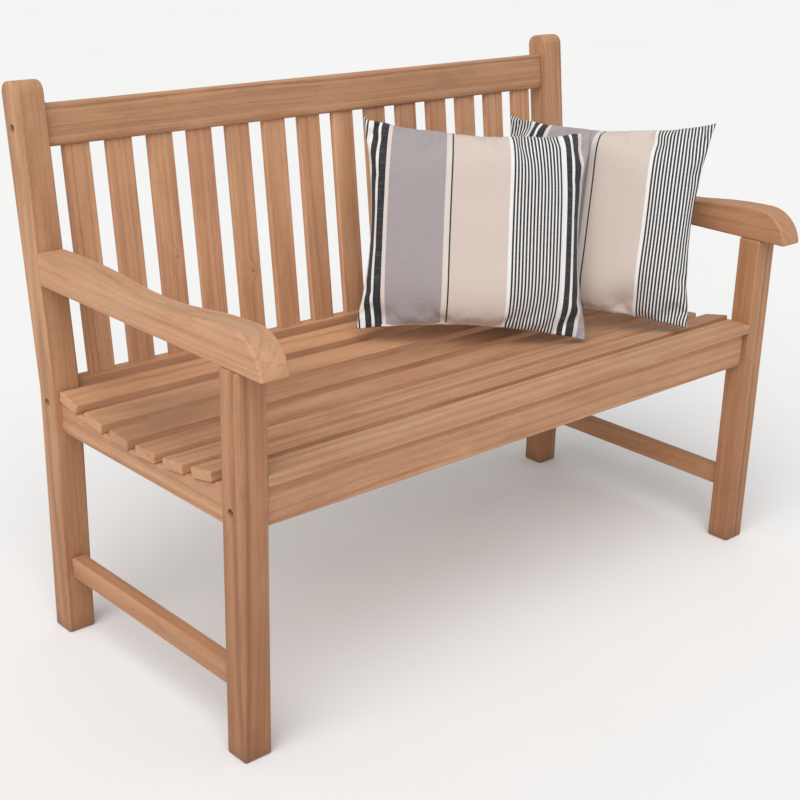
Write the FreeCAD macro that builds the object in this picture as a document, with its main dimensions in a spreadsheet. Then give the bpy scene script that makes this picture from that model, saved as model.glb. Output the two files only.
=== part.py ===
"""Two-seat slatted teak garden bench with shaped armrests, a dished seat and two scatter cushions.

Frame: +X along the bench, +Y from the front to the back, +Z up, millimetres.
The origin is on the ground, at the middle of the bench's length and depth.
"""
import FreeCAD, Part
import math
import os
import re
import Sketcher

doc = FreeCAD.newDocument("GardenBench")

# ---------------------------------------------------------------- driving dimensions
DIMENSIONS = [
    ("overall_width", 1200, "outer face to outer face of the two ends"),
    ("overall_depth", 646, "nose of the armrests to the back of the post tops"),
    ("overall_height", 903, "ground to the top of the back posts"),
    ("leg_width", 48, "legs and posts along the bench"),
    ("leg_depth", 45, "front legs, front to back"),
    ("post_depth", 46, "back posts, front to back"),
    ("bend_height", 425, "ground to the bend in the back posts"),
    ("lean", 6.8, "backward lean of the back in degrees"),
    ("bend_radius", 200, "softening of the bend"),
    ("crown_radius", 18, "rounding of the post tops"),
    ("arris", 4, "eased edge on every heavy timber"),
    ("slat_arris", 2.5, "eased edge on every slat"),
    ("rail_height", 65, "every long rail and side rail"),
    ("rail_thickness", 24, "every long rail and side rail"),
    ("rail_setback", 12, "rail face behind the face of its leg or post"),
    ("rail_top", 425, "ground to the top of the apron and side rails"),
    ("back_rail_top", 440, "ground to the top of the lower back rail"),
    ("crest_below_top", 37, "post end down to the crest rail"),
    ("stretcher_height", 35, "low side stretchers"),
    ("stretcher_thickness", 26, "low side stretchers"),
    ("stretcher_bottom", 103, "ground to the underside of the stretchers"),
    ("back_slat_width", 46, "back slats along the bench"),
    ("back_slat_thickness", 12, "back slats, front to back"),
    ("back_slat_housing", 12, "depth a back slat enters each rail"),
    ("seat_slat_width", 50, "seat slats, front to back"),
    ("seat_slat_thickness", 17, "seat slats"),
    ("seat_slat_inset", 7, "slat end inside the outer face of the legs"),
    ("front_gap", 27, "front slat to the next slat"),
    ("rear_gap", 2, "last slat to the posts"),
    ("dish_depth", 31, "lowest point of the dished rails under rail_top"),
    ("dish_back_drop", 9, "dished rails at the posts under rail_top"),
    ("arm_underside", 599, "ground to the underside of the armrests"),
    ("arm_crown", 57.5, "armrest thickness over the front leg"),
    ("arm_overhang", 50, "armrest nose in front of the leg"),
    ("nose_radius", 64, "round front end of the armrest"),
    ("swell_radius", 850, "convex run behind the nose"),
    ("dip_radius", 768, "hollow in the top of the armrest"),
    ("tail_radius", 1500, "convex run up to the post"),
    ("dip_start", 130, "hollow begins, behind the leg front"),
    ("dip_end", 310, "hollow ends, behind the leg front"),
    ("tenon_thickness", 12, "every tenon"),
    ("tenon_length", 28, "stretcher and armrest tenons"),
    ("tenon_cover", 3, "timber between a side rail's tenon and the dowels that cross it"),
    ("tenon_shoulder", 8, "shoulder above and below a tenon"),
    ("joint_clearance", 0.15, "glue room round a tenon, dowel or slat end"),
    ("bolt_diameter", 6, "frame bolt shank"),
    ("bolt_length", 80, "frame bolt under its head"),
    ("bolt_head", 10, "frame bolt head diameter"),
    ("bolt_head_height", 4, "frame bolt head"),
    ("washer_diameter", 12, "washer under each bolt head"),
    ("washer_thickness", 1.5, "washer under each bolt head"),
    ("counterbore", 13, "recess for the bolt head"),
    ("counterbore_depth", 10, "recess for the bolt head"),
    ("nut_diameter", 10, "barrel nut"),
    ("nut_length", 16, "barrel nut"),
    ("nut_from_end", 32, "barrel nut axis from the rail end"),
    ("thread_clearance", 0.05, "bolt or screw in its threaded hole"),
    ("dowel_diameter", 8, "locating dowel beside each bolt"),
    ("dowel_length", 40, "locating dowel"),
    ("dowel_spacing", 40, "between the two dowels of a joint"),
    ("pin_diameter", 5, "pin through the armrest tenon"),
    ("pin_length", 30, "pin through the armrest tenon"),
    ("pin_height", 9, "pin above the armrest underside"),
    ("screw_diameter", 4, "seat screw"),
    ("screw_head", 8, "seat screw head"),
    ("screw_head_height", 3, "seat screw head"),
    ("screw_grip", 22, "timber between screw head and slat"),
    ("screw_bite", 11, "screw inside the slat"),
    ("screw_recess", 9, "hole for the screw head from below"),
    ("cushion_side", 400, "plumped cushion along its bottom edge"),
    ("cushion_rise", 380, "plumped cushion from bottom edge to top"),
    ("cushion_thickness", 110, "cushion at the middle"),
    ("cushion_edge", 26, "cushion at its seamed edge"),
    ("cushion_crown", 110, "flat middle of the cushion solid, each way"),
    ("cushion_lift", 14, "middle of a cushion's bottom edge over rail_top"),
    ("cushion_easy_depth", 640, "bench depth below which the cushions ride up on the front of the dish"),
    ("left_cushion_from_end", 483, "left cushion's middle to the right end of the bench"),
    ("left_cushion_from_post", 208, "left cushion's bottom edge in front of the posts"),
    ("right_cushion_from_end", 244, "right cushion's middle to the right end of the bench"),
    ("right_cushion_from_post", 263, "right cushion's bottom edge in front of the posts"),
]
BACK_SLATS = 14
SEAT_SLATS = 6

sheet = doc.addObject("Spreadsheet::Sheet", "Dims")
for row, (alias, number, note) in enumerate(DIMENSIONS, start=1):
    sheet.set("A%d" % row, alias)
    sheet.set("B%d" % row, str(number))
    sheet.set("C%d" % row, note)
    sheet.setAlias("B%d" % row, alias)
doc.recompute()
ALIASES = {alias for alias, _, _ in DIMENSIONS}


def value(alias):
    """One driving dimension, read back from the sheet."""
    return float(getattr(sheet, alias))


def bound(text):
    """An expression on the sheet: each dimension's name becomes its cell."""
    return re.sub(r"[a-z_]+", lambda word: "Dims." + word[0] if word[0] in ALIASES else word[0], str(text))


def number(text):
    """The value of the same expression, for the few calls that take no expression."""
    sheet.set("E1", "=" + str(text))
    sheet.recompute()
    result = sheet.get("E1")
    return float(getattr(result, "Value", result))


# ---------------------------------------------------------------- derived places
FRONT = "(arm_overhang - overall_depth / 2)"
UPPER_RUN = "((overall_height - crown_radius * (1 - sin(lean)) - bend_height) / cos(lean))"
POST_END = "(%s + crown_radius)" % UPPER_RUN
BACK_REACH = "(%s * sin(lean) + (post_depth - crown_radius) * cos(lean) + crown_radius)" % UPPER_RUN
POST_FRONT = "(overall_depth / 2 - %s)" % BACK_REACH
RAIL_BOTTOM = "(rail_top - rail_height)"
LEG_BACK = "(%s + leg_depth)" % FRONT
SIDE_INSET = "((leg_width - rail_thickness) / 2)"
BETWEEN_LEGS = "(overall_width - 2 * leg_width)"

# the dished seat is an arc: dish_depth under rail_top at its lowest point
DISH_LENGTH = "(%s - %s)" % (POST_FRONT, LEG_BACK)
DISH_SHARE = "(sqrt(dish_depth) / (sqrt(dish_depth) + sqrt(dish_depth - dish_back_drop)))"
DISH_Y = "(%s + %s * %s)" % (LEG_BACK, DISH_LENGTH, DISH_SHARE)
DISH_RADIUS = "(((%s - %s)^2 + dish_depth^2) / (2 * dish_depth))" % (DISH_Y, LEG_BACK)
DISH_Z = "(rail_top - dish_depth + %s)" % DISH_RADIUS


def lean_y(depth, along):
    """Y of a place given in the back's leaning frame: depth behind the face, along the slope."""
    return "(%s + (%s) * cos(lean) + (%s) * sin(lean))" % (POST_FRONT, depth, along)


def lean_z(depth, along):
    """Z of a place given in the back's leaning frame."""
    return "(bend_height - (%s) * sin(lean) + (%s) * cos(lean))" % (depth, along)


def side_x(side, inset, width):
    """Low X of a piece that lies inset from the outer face of one end."""
    if side < 0:
        return "(-overall_width / 2 + %s)" % inset
    return "(overall_width / 2 - %s - %s)" % (inset, width)


# ---------------------------------------------------------------- small builders
def bind(obj, **expressions):
    """Bind properties of an object to expressions on the sheet."""
    for name, text in expressions.items():
        obj.setExpression(name, bound(text))
    return obj


def place(obj, x="0", y="0", z="0"):
    """Bind the position of an object."""
    for axis, text in (("x", x), ("y", y), ("z", z)):
        obj.setExpression("Placement.Base." + axis, bound(text))
    return obj


def turn(obj, axis, angle):
    """Turn an object about an axis through its own origin by a bound angle."""
    obj.Placement.Rotation = FreeCAD.Rotation(FreeCAD.Vector(*axis), 1)
    obj.setExpression("Placement.Rotation.Angle", bound(angle))
    return obj


def box(name, size, position, lean=None):
    """A box with bound length, width and height, turned about X where an angle is given."""
    solid = doc.addObject("Part::Box", name)
    bind(solid, Length=size[0], Width=size[1], Height=size[2])
    if lean is not None:
        turn(solid, (-1, 0, 0), lean)
    return place(solid, *position)


def leaning_box(name, size, x, depth, along):
    """A box in the back's leaning frame."""
    return box(name, size, (x, lean_y(depth, along), lean_z(depth, along)), lean="lean")


ROD_AXES = {"X": ((0, 1, 0), "90"), "Y": ((1, 0, 0), "-90"), "Z": ((0, 0, 1), "0")}


def rod(name, radius, length, position, axis="Z", lean=None):
    """A cylinder that starts at a position and runs along +X, +Y or +Z."""
    solid = doc.addObject("Part::Cylinder", name)
    bind(solid, Radius=radius, Height=length)
    direction, angle = ROD_AXES[axis]
    if lean is not None:
        angle = "-90 - %s" % lean
    turn(solid, direction, angle)
    return place(solid, *position)


def fuse(name, shapes):
    """One solid, or one group, from several objects."""
    result = doc.addObject("Part::MultiFuse", name)
    result.Shapes = shapes
    return result


def group(name, shapes):
    """Several separate solids kept in one node."""
    result = doc.addObject("Part::Compound", name)
    result.Links = shapes
    return result


def cut(name, base, tools):
    """A base with every tool taken away in one step."""
    result = doc.addObject("Part::Cut", name)
    result.Base = base
    result.Tool = tools[0] if len(tools) == 1 else fuse(name + "_tools", tools)
    return result


def ease(name, base, radius, chosen=lambda edge: True):
    """Round the chosen edges of an object."""
    doc.recompute()
    result = doc.addObject("Part::Fillet", name)
    result.Base = base
    edges = enumerate(base.Shape.Edges, start=1)
    result.Edges = [(index, radius, radius) for index, edge in edges if chosen(edge)]
    return result


def timber(name, size, position, arris, lean=None):
    """A rectangular stick with all its edges eased."""
    stick = box(name + "_stick", size, position, lean)
    return ease(name + "_eased", stick, arris)


def plus(text, more):
    """Sum of two expression texts."""
    return "(%s + %s)" % (text, more)


def minus(text, less):
    """Difference of two expression texts."""
    return "(%s - (%s))" % (text, less)


nodes = {}


def node(name, obj):
    """Keep an object as a sub-part under its own name."""
    obj.Label = name
    nodes[name] = obj
    return obj


SIDES = (("left", -1), ("right", 1))


# ---------------------------------------------------------------- sketched profiles
def profile_body(name):
    """A body with an empty sketch that lies in the YZ plane."""
    body = doc.addObject("PartDesign::Body", name)
    sketch = body.newObject("Sketcher::SketchObject", name + "_sketch")
    plane = [item for item in body.Origin.OriginFeatures if item.Role == "YZ_Plane"][0]
    sketch.AttachmentSupport = [(plane, "")]
    sketch.MapMode = "FlatFace"
    return body, sketch


def pad(body, sketch, length, x):
    """Pad the sketch along +X by a bound length and place the body."""
    feature = body.newObject("PartDesign::Pad", body.Name + "_pad")
    feature.Profile = sketch
    feature.setExpression("Length", bound(length))
    body.Tip = feature
    place(body, x=x)
    doc.recompute()
    return body


def pin_point(sketch, geometry, point, y=None, z=None):
    """Hold one point of a sketch at bound coordinates."""
    for kind, text in (("DistanceX", y), ("DistanceY", z)):
        if text is not None:
            constraint = Sketcher.Constraint(kind, -1, 1, geometry, point, number(text))
            index = sketch.addConstraint(constraint)
            sketch.setExpression("Constraints[%d]" % index, bound(text))


def polygon(sketch, corners):
    """A closed polygon whose corners stand at bound coordinates."""
    points = [FreeCAD.Vector(number(y), number(z), 0) for y, z in corners]
    count = len(points)
    for index in range(count):
        sketch.addGeometry(Part.LineSegment(points[index], points[(index + 1) % count]), False)
    for index in range(count):
        sketch.addConstraint(Sketcher.Constraint("Coincident", index, 2, (index + 1) % count, 1))
    for index, (y, z) in enumerate(corners):
        pin_point(sketch, index, 1, y, z)


def along_x(edge):
    """True for a straight edge that runs along the bench."""
    ends = edge.Vertexes
    return len(ends) == 2 and abs(abs(ends[0].X - ends[1].X) - edge.Length) < 1e-6


# ---------------------------------------------------------------- bolted joints
BACK_RAIL_BOTTOM = "(back_rail_top - rail_height)"
CREST_ALONG = "(%s - crest_below_top - rail_height)" % POST_END
MID_DEPTH = "(rail_setback + rail_thickness / 2)"
HALF_RAIL = "rail_height / 2"

# each bolted joint: centre of the rail section, and the way its height runs
BOLTED = {
    "crest": (lean_y(MID_DEPTH, plus(CREST_ALONG, HALF_RAIL)),
              lean_z(MID_DEPTH, plus(CREST_ALONG, HALF_RAIL)), "lean"),
    "lower": (plus(POST_FRONT, MID_DEPTH), plus(BACK_RAIL_BOTTOM, HALF_RAIL), None),
    "apron": (plus(FRONT, MID_DEPTH), plus(RAIL_BOTTOM, HALF_RAIL), None),
}


def bolt_tools(name, joint, side, in_rail):
    """Holes for one bolt and its two dowels, in the post or leg, or in the rail end."""
    y, z, slope = BOLTED[joint]
    rise_y = "(dowel_spacing / 2 * sin(lean))" if slope else "0"
    rise_z = "(dowel_spacing / 2 * cos(lean))" if slope else "dowel_spacing / 2"
    reach = "(counterbore_depth - washer_thickness + bolt_length + 1)"
    shank = "(bolt_diameter / 2 + thread_clearance)"
    tools = [rod(name + "_shank", shank, reach, (side_x(side, "0", reach), y, z), "X")]
    if not in_rail:
        mouth = "(counterbore_depth + 1)"
        place_x = side_x(side, "-1", mouth)
        tools.append(rod(name + "_bore", "counterbore / 2", mouth, (place_x, y, z), "X"))
    hole = "(dowel_length + 2 * joint_clearance)"
    near = "(leg_width - dowel_length / 2 - joint_clearance)"
    radius = "(dowel_diameter / 2 + joint_clearance)"
    for tag, sign in (("upper", 1), ("under", -1)):
        where = (side_x(side, near, hole), "%s + %d * %s" % (y, sign, rise_y),
                 "%s + %d * %s" % (z, sign, rise_z))
        tools.append(rod("%s_dowel_%s" % (name, tag), radius, hole, where, "X"))
    if in_rail:
        tools.append(nut_pocket(name, joint, side))
    return tools


def nut_start(joint, side, depth):
    """Place of a barrel nut's front end: depth in front of the rail's back face."""
    y, z, slope = BOLTED[joint]
    back = "(rail_thickness / 2 - (%s))" % depth
    x = side_x(side, "(leg_width + nut_from_end)", "0")
    if slope:
        return (x, "(%s + %s * cos(lean))" % (y, back), "(%s - %s * sin(lean))" % (z, back))
    return (x, "(%s + %s)" % (y, back), z)


def nut_pocket(name, joint, side):
    """Hole for a barrel nut, bored from the back face of a rail."""
    depth = "(rail_thickness / 2 + nut_length / 2)"
    radius = "(nut_diameter / 2 + joint_clearance)"
    slope = BOLTED[joint][2]
    return rod(name + "_nut", radius, plus(depth, "2"), nut_start(joint, side, depth), "Y", slope)


# ---------------------------------------------------------------- screws under the seat
SLAT_FIRST = "(%s + seat_slat_width + front_gap + seat_slat_width / 2)" % FRONT
SLAT_LAST = "(%s - rear_gap - seat_slat_width / 2)" % POST_FRONT
SLAT_CHORD = "sqrt(%s^2 - (seat_slat_width / 2)^2)" % DISH_RADIUS


def slat_y(index):
    """Y of the middle of a seat slat on the dish, 1 at the front."""
    share = (index - 1) / (SEAT_SLATS - 1)
    return "(%s + (%s - %s) * %.10g)" % (SLAT_FIRST, SLAT_LAST, SLAT_FIRST, share)


def slat_tilt(index):
    """Tilt of a seat slat that lies on the dish."""
    return "asin((%s - %s) / %s)" % (slat_y(index), DISH_Y, DISH_RADIUS)


def slat_bottom(index):
    """Z of the middle of a slat's underside: its two lower edges rest on the dish."""
    return "(%s - %s * cos(%s))" % (DISH_Z, SLAT_CHORD, slat_tilt(index))


SUPPORTS = {"left": side_x(-1, SIDE_INSET, "0") + " + rail_thickness / 2",
            "right": side_x(1, SIDE_INSET, "0") + " - rail_thickness / 2",
            "centre": "0"}


def screw_places(support):
    """Places of the screws in one support: tag, x, y, z of the slat's underside."""
    return [("%s_%d" % (support, index), SUPPORTS[support], slat_y(index), slat_bottom(index))
            for index in range(1, SEAT_SLATS + 1)]


APRON_SCREWS = 4


def apron_screw_places():
    """Places of the screws that come up through the apron into the front slat."""
    step = "%s / %d" % (BETWEEN_LEGS, APRON_SCREWS)
    first = "-%s / 2 + %s / 2" % (BETWEEN_LEGS, step)
    y = plus(FRONT, MID_DEPTH)
    return [("apron_%d" % index, "(%s + %d * %s)" % (first, index, step), y, "rail_top")
            for index in range(APRON_SCREWS)]


def screw_tools(place_of, bottom):
    """Clearance hole and head recess for one screw in the timber under a slat."""
    tag, x, y, z = place_of
    head = minus(z, "screw_grip")
    radius = "(screw_diameter / 2 + joint_clearance)"
    deep = minus(head, minus(bottom, "1"))
    return [rod("hole_" + tag, radius, "(screw_grip + 2)", (x, y, minus(head, "1"))),
            rod("recess_" + tag, "screw_recess / 2", deep, (x, y, minus(bottom, "1")))]


def pilot(name, place_of):
    """Hole for the thread of one screw in a slat."""
    tag, x, y, z = place_of
    radius = "(screw_diameter / 2 + thread_clearance)"
    return rod("%s_%s" % (name, tag), radius, "(screw_bite + 2)", (x, y, minus(z, "1")))


# ---------------------------------------------------------------- back posts
SIDE_TENON_BACK = "(%s - dowel_diameter / 2 - tenon_cover)" % MID_DEPTH
SIDE_TENON_FRONT = "(leg_depth - %s - dowel_diameter / 2 - tenon_cover)" % MID_DEPTH
SIDE_TENON_HEIGHT = "(rail_height - dish_depth - 2 * tenon_shoulder + dish_depth / 2)"
STRETCHER_INSET = "((leg_width - stretcher_thickness) / 2)"
ARM_FACE_Y = "(%s + (arm_underside - bend_height) * tan(lean))" % POST_FRONT
ARM_TENON_Z = "(arm_underside + tenon_shoulder)"
ARM_TENON_HEIGHT = "(arm_crown / 2)"
ARM_TENON_WIDTH = "(leg_width / 2)"
STRETCHER_TENON = "(stretcher_height - 2 * tenon_shoulder)"


def end_tenon(name, side, height, y, z, grow, width="tenon_thickness", length="tenon_length"):
    """A tenon, or with grow the mortise for it, that runs along Y in the middle of an end."""
    wide = "(%s + 2 * %s)" % (width, grow)
    tall = "(%s + 2 * %s)" % (height, grow)
    deep = "(%s + %s)" % (length, grow)
    inset = "((leg_width - %s) / 2)" % wide
    return box(name, (wide, deep, tall), (side_x(side, inset, wide), y, minus(z, grow)))


def back_post(label, side):
    """Bent post: straight up to the seat, then leaning back, with a rounded top."""
    name = "back_post_" + label
    body, sketch = profile_body(name + "_blank")
    behind = plus(POST_FRONT, "post_depth")
    polygon(sketch, [
        (POST_FRONT, "0"),
        (behind, "0"),
        (behind, "bend_height - post_depth * tan(lean / 2)"),
        (lean_y("post_depth", POST_END), lean_z("post_depth", POST_END)),
        (lean_y("0", POST_END), lean_z("0", POST_END)),
        (POST_FRONT, "bend_height"),
    ])
    pad(body, sketch, "leg_width", side_x(side, "0", "leg_width"))
    top = number("overall_height - 3 * crown_radius")
    crown = ease(name + "_crown", body, value("crown_radius"),
                 lambda edge: along_x(edge) and edge.CenterOfMass.z > top)
    low = number("bend_height - post_depth")
    high = number("bend_height + 1")
    bent = ease(name + "_bent", crown, value("bend_radius"),
                lambda edge: along_x(edge) and low < edge.CenterOfMass.z < high)
    eased = ease(name + "_eased", bent, value("arris"),
                 lambda edge: not along_x(edge) or edge.CenterOfMass.z < 1)
    rail_z = plus(RAIL_BOTTOM, "tenon_shoulder")
    stretcher_z = plus("stretcher_bottom", "tenon_shoulder")
    tools = [
        end_tenon(name + "_rail_mortise", side, SIDE_TENON_HEIGHT, POST_FRONT, rail_z,
                  "joint_clearance", length=SIDE_TENON_BACK),
        end_tenon(name + "_stretcher_mortise", side, STRETCHER_TENON, POST_FRONT, stretcher_z,
                  "joint_clearance"),
        end_tenon(name + "_arm_mortise", side, ARM_TENON_HEIGHT, ARM_FACE_Y, ARM_TENON_Z,
                  "joint_clearance", ARM_TENON_WIDTH),
    ]
    tools += bolt_tools(name + "_crest", "crest", side, False)
    tools += bolt_tools(name + "_lower", "lower", side, False)
    node(name, cut(name, eased, tools))


# ---------------------------------------------------------------- front legs
def front_leg(label, side):
    """Straight leg with a tenon on its top for the armrest."""
    name = "front_leg_" + label
    size = ("leg_width", "leg_depth", "arm_underside")
    stick = timber(name, size, (side_x(side, "0", "leg_width"), FRONT, "0"), value("arris"))
    tenon = leg_tenon(name + "_tenon", side, "0")
    whole = fuse(name + "_whole", [stick, tenon])
    deep = "(tenon_length + joint_clearance)"
    rail_deep = plus(SIDE_TENON_FRONT, "joint_clearance")
    rail_z = plus(RAIL_BOTTOM, "tenon_shoulder")
    stretcher_z = plus("stretcher_bottom", "tenon_shoulder")
    tools = [
        end_tenon(name + "_rail_mortise", side, SIDE_TENON_HEIGHT, minus(LEG_BACK, rail_deep),
                  rail_z, "joint_clearance", length=SIDE_TENON_FRONT),
        end_tenon(name + "_stretcher_mortise", side, STRETCHER_TENON, minus(LEG_BACK, deep),
                  stretcher_z, "joint_clearance"),
        arm_pin_rod(name + "_pin_hole", side, "joint_clearance"),
    ]
    tools += bolt_tools(name + "_apron", "apron", side, False)
    node(name, cut(name, whole, tools))


def leg_tenon(name, side, grow):
    """Tenon on top of a front leg, or with grow the mortise in the armrest."""
    wide = "(leg_width / 2 + 2 * %s)" % grow
    deep = "(leg_depth / 2 + 2 * %s)" % grow
    tall = "(tenon_length + 1 + %s)" % grow
    inset = "((leg_width - %s) / 2)" % wide
    y = "(%s + (leg_depth - %s) / 2)" % (FRONT, deep)
    return box(name, (wide, deep, tall), (side_x(side, inset, wide), y, "(arm_underside - 1)"))


def arm_pin_rod(name, side, grow):
    """Pin from the inner face of the armrest through the leg's tenon."""
    length = "(pin_length + 2 * %s)" % grow
    radius = "(pin_diameter / 2 + %s)" % grow
    near = "(leg_width - pin_length - %s)" % grow
    y = "(%s + leg_depth / 2)" % FRONT
    where = (side_x(side, near, length), y, "(arm_underside + pin_height)")
    return rod(name, radius, length, where, "X")


# ---------------------------------------------------------------- armrests
def armrest(label, side):
    """Shaped armrest: round nose, swell over the leg, long hollow, tail up to the post."""
    name = "armrest_" + label
    body, sketch = profile_body(name + "_blank")
    arm_outline(sketch)
    pad(body, sketch, "leg_width", side_x(side, "0", "leg_width"))
    eased = ease(name + "_eased", body, value("arris"))
    tenon = end_tenon(name + "_tenon", side, ARM_TENON_HEIGHT, minus(ARM_FACE_Y, "1"),
                      ARM_TENON_Z, "0", ARM_TENON_WIDTH)
    whole = fuse(name + "_whole", [eased, tenon])
    tools = [leg_tenon(name + "_mortise", side, "joint_clearance"),
             arm_pin_rod(name + "_pin_hole", side, "joint_clearance")]
    node(name, cut(name, whole, tools))


def arm_outline(sketch):
    """Closed outline of four tangent arcs, the underside and the slanted back end."""
    nose = value("nose_radius")
    swell = value("swell_radius")
    dip = value("dip_radius")
    tail = value("tail_radius")
    under = value("arm_underside")
    top = number("arm_underside + arm_crown")
    nose_back = "sqrt(nose_radius^2 - (nose_radius - arm_crown + arris)^2)"
    crown_y = "(%s - arm_overhang + %s)" % (FRONT, nose_back)
    crown = number(crown_y)
    start = number(plus(FRONT, "dip_start"))
    end = number(plus(FRONT, "dip_end"))
    # the headings at the two changes of curvature follow from the tangent arcs
    fall = math.asin((start - crown) / swell)
    start_z = top - swell * (1 - math.cos(fall))
    hollow = FreeCAD.Vector(start + dip * math.sin(fall), start_z + dip * math.cos(fall), 0)
    climb = math.asin((end - hollow.x) / dip)
    end_z = hollow.y - dip * math.cos(climb)
    hump = FreeCAD.Vector(end + tail * math.sin(climb), end_z - tail * math.cos(climb), 0)
    slope = math.radians(value("lean"))
    face = number(ARM_FACE_Y)
    reach = face
    for _ in range(8):
        height = hump.y + math.sqrt(tail**2 - (reach - hump.x)**2)
        reach = face + (height - under) * math.tan(slope)
    nose_low = math.pi - math.asin((under - (top - nose)) / nose)
    nose_end = FreeCAD.Vector(crown + nose * math.cos(nose_low), under, 0)
    heel = FreeCAD.Vector(face, under, 0)
    shoulder = FreeCAD.Vector(reach, height, 0)
    up = FreeCAD.Vector(0, 0, 1)

    def arc(centre, radius, first, last):
        circle = Part.Circle(centre, up, radius)
        return Part.ArcOfCircle(circle, first, last)

    shoulder_angle = math.atan2(height - hump.y, reach - hump.x)
    quarter = math.pi / 2
    shapes = [
        Part.LineSegment(nose_end, heel),
        Part.LineSegment(heel, shoulder),
        arc(hump, tail, shoulder_angle, quarter + climb),
        arc(hollow, dip, -quarter - fall, -quarter + climb),
        arc(FreeCAD.Vector(crown, top - swell, 0), swell, quarter - fall, quarter),
        arc(FreeCAD.Vector(crown, top - nose, 0), nose, quarter, nose_low),
    ]
    for shape in shapes:
        sketch.addGeometry(shape, False)
    bottom, back, tail_arc, dip_arc, swell_arc, nose_arc = range(6)
    joined = [
        Sketcher.Constraint("Coincident", bottom, 2, back, 1),
        Sketcher.Constraint("Coincident", back, 2, tail_arc, 1),
        Sketcher.Constraint("Tangent", tail_arc, 2, dip_arc, 2),
        Sketcher.Constraint("Tangent", dip_arc, 1, swell_arc, 1),
        Sketcher.Constraint("Tangent", swell_arc, 2, nose_arc, 1),
        Sketcher.Constraint("Coincident", nose_arc, 2, bottom, 1),
        Sketcher.Constraint("Horizontal", bottom),
    ]
    for constraint in joined:
        sketch.addConstraint(constraint)
    radii = ((tail_arc, "tail_radius"), (dip_arc, "dip_radius"),
             (swell_arc, "swell_radius"), (nose_arc, "nose_radius"))
    for index, alias in radii:
        radius = Sketcher.Constraint("Radius", index, value(alias))
        sketch.setExpression("Constraints[%d]" % sketch.addConstraint(radius), bound(alias))
    pin_point(sketch, back, 1, ARM_FACE_Y, "arm_underside")
    pin_point(sketch, swell_arc, 2, crown_y, "arm_underside + arm_crown")
    pin_point(sketch, nose_arc, 3, y=crown_y)
    pin_point(sketch, swell_arc, 1, y=plus(FRONT, "dip_start"))
    pin_point(sketch, dip_arc, 2, y=plus(FRONT, "dip_end"))
    angle = Sketcher.Constraint("Angle", back, math.pi / 2 - slope)
    sketch.setExpression("Constraints[%d]" % sketch.addConstraint(angle), bound("90 - lean"))


# ---------------------------------------------------------------- side rails and stretchers
def dish_tool(name):
    """Cylinder whose underside is the dished line of the seat."""
    length = "(overall_width + 20)"
    where = ("-overall_width / 2 - 10", DISH_Y, DISH_Z)
    return rod(name, DISH_RADIUS, length, where, "X")


def dished_rail(name, x, y, length):
    """Rail whose top is hollowed to carry the seat slats, with its long edges eased."""
    size = ("rail_thickness", length, "rail_height")
    stick = box(name + "_stick", size, (x, y, RAIL_BOTTOM))
    dished = cut(name + "_dished", stick, [dish_tool(name + "_dish")])
    return ease(name + "_eased", dished, value("arris"), lambda edge: edge.Length > 2 * value("rail_height"))


def side_rail(label, side):
    """Seat rail of one end, tenoned into the leg and the post."""
    name = "side_rail_" + label
    rail = dished_rail(name, side_x(side, SIDE_INSET, "rail_thickness"), LEG_BACK, DISH_LENGTH)
    z = plus(RAIL_BOTTOM, "tenon_shoulder")
    front = end_tenon(name + "_front_tenon", side, SIDE_TENON_HEIGHT,
                      minus(LEG_BACK, SIDE_TENON_FRONT), z, "0", length=SIDE_TENON_FRONT)
    back = end_tenon(name + "_back_tenon", side, SIDE_TENON_HEIGHT, POST_FRONT, z, "0",
                     length=SIDE_TENON_BACK)
    whole = fuse(name + "_whole", [rail, front, back])
    tools = []
    for place_of in screw_places(label):
        tools += screw_tools(place_of, RAIL_BOTTOM)
    node(name, cut(name, whole, tools))


def stretcher(label, side):
    """Low stretcher between the feet of one end."""
    name = "stretcher_" + label
    size = ("stretcher_thickness", DISH_LENGTH, "stretcher_height")
    x = side_x(side, STRETCHER_INSET, "stretcher_thickness")
    stick = timber(name, size, (x, LEG_BACK, "stretcher_bottom"), value("arris"))
    z = plus("stretcher_bottom", "tenon_shoulder")
    front = end_tenon(name + "_front_tenon", side, STRETCHER_TENON,
                      minus(LEG_BACK, "tenon_length"), z, "0")
    back = end_tenon(name + "_back_tenon", side, STRETCHER_TENON, POST_FRONT, z, "0")
    front.setExpression("Width", bound("tenon_length + arris"))
    back.setExpression("Width", bound("tenon_length + arris"))
    back.setExpression("Placement.Base.y", bound(minus(POST_FRONT, "arris")))
    node(name, fuse(name, [stick, front, back]))


# ---------------------------------------------------------------- long rails
BACK_GAP = "((%s - %d * back_slat_width) / %d)" % (BETWEEN_LEGS, BACK_SLATS, BACK_SLATS + 1)
SLAT_DEPTH = "(rail_setback + (rail_thickness - back_slat_thickness) / 2)"
SLAT_LOW = "((back_rail_top - bend_height + %s * sin(lean)) / cos(lean) - back_slat_housing)" % MID_DEPTH
SLAT_HIGH = "(%s + back_slat_housing)" % CREST_ALONG


def back_slat_x(index):
    """Low X of a back slat, 1 at the left."""
    return "(-%s / 2 + %s + %d * (back_slat_width + %s))" % (BETWEEN_LEGS, BACK_GAP, index - 1, BACK_GAP)


def back_slat_box(name, index, grow):
    """A back slat, or with grow the housing for both its ends."""
    wide = "(back_slat_width + 2 * %s)" % grow
    thick = "(back_slat_thickness + 2 * %s)" % grow
    tall = "(%s - %s)" % (SLAT_HIGH, SLAT_LOW)
    x = minus(back_slat_x(index), grow)
    return leaning_box(name, (wide, thick, tall), x, minus(SLAT_DEPTH, grow), SLAT_LOW)


def rail_tools(name, joint):
    """Bolt, dowel and nut holes at both ends of a long rail."""
    tools = []
    for label, side in SIDES:
        tools += bolt_tools("%s_%s" % (name, label), joint, side, True)
    return tools


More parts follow.
